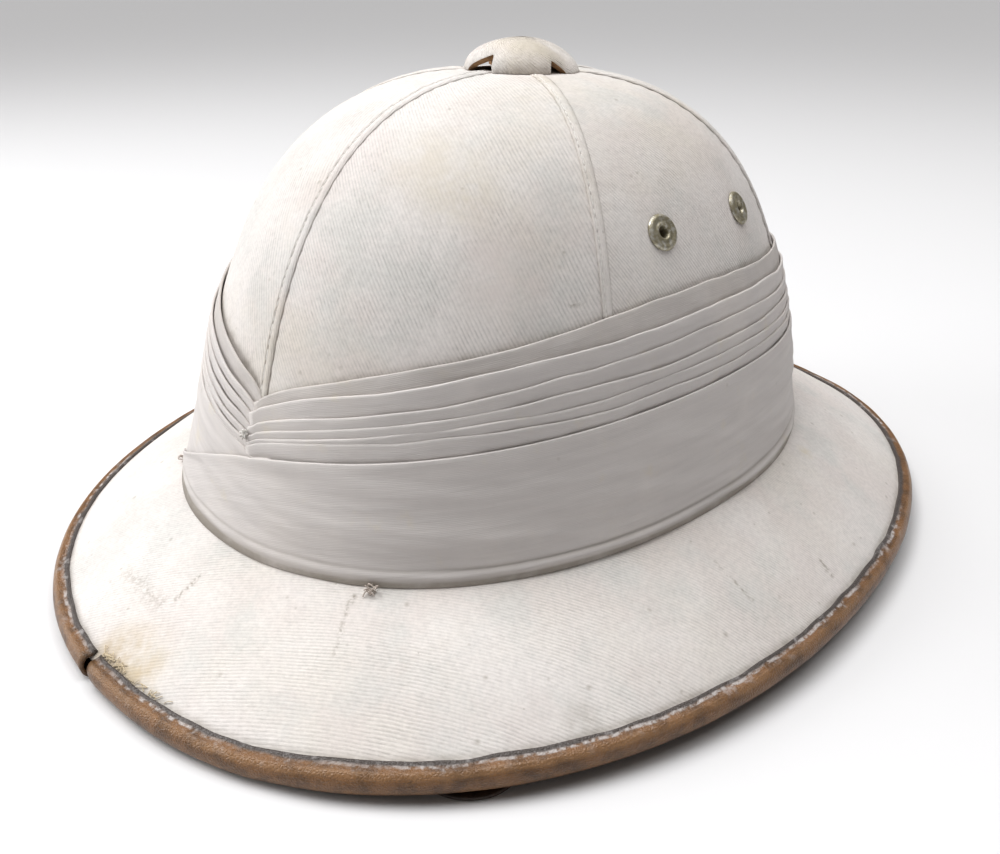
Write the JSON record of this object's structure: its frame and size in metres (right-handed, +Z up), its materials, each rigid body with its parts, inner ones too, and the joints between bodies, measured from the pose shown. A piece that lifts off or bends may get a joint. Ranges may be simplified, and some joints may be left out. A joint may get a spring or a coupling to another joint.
{
  "type": "pith helmet",
  "caption": "Domed sun helmet with a wide sloping brim, cloth panels, a folded puggaree, a rolled leather edge, a vent cap, eyelets and a narrow chin strap.",
  "frame": {"origin": "middle of the helmet's outline in plan, on the surface that it stands on", "axes": "the front faces -Y, +X is the wearer's left, +Z is up; the brim's length is along Y"},
  "size_m": [0.2842, 0.3506, 0.1663],
  "materials": {
    "cork": "matt pressed cork",
    "crown_cloth": "whitened cotton twill, slightly stained",
    "seam_tape": "whitened cotton tape, stitched along its edges",
    "brim_cloth": "whitened cotton twill with scuffs",
    "puggaree_cloth": "smooth folded cotton, whitened",
    "binding_leather": "rolled brown leather, rubbed and whitened along its upper edge",
    "eyelet_metal": "tarnished brass with traces of white",
    "strap_leather": "dark brown strap leather"
  },
  "bodies": {
    "root": {"cork_shell": "cork", "gore_front_left": "crown_cloth", "gore_front_right": "crown_cloth", "gore_side_left": "crown_cloth", "gore_side_right": "crown_cloth", "gore_rear_left": "crown_cloth", "gore_rear_right": "crown_cloth", "seam_front": "seam_tape", "seam_front_left": "seam_tape", "seam_rear_left": "seam_tape", "seam_rear": "seam_tape", "seam_rear_right": "seam_tape", "seam_front_right": "seam_tape", "brim_cover": "brim_cloth", "puggaree_band": "puggaree_cloth", "puggaree_fold_1": "puggaree_cloth", "puggaree_fold_2": "puggaree_cloth", "puggaree_fold_3": "puggaree_cloth", "puggaree_fold_4": "puggaree_cloth", "puggaree_fold_5": "puggaree_cloth", "puggaree_fold_6": "puggaree_cloth", "brim_binding": "binding_leather", "vent_cap": "crown_cloth", "eyelet_front_left": "eyelet_metal", "eyelet_rear_left": "eyelet_metal", "eyelet_front_right": "eyelet_metal", "eyelet_rear_right": "eyelet_metal", "strap_tab_left": "strap_leather", "strap_tab_right": "strap_leather", "chin_strap": "strap_leather"}
  },
  "joints": []
}
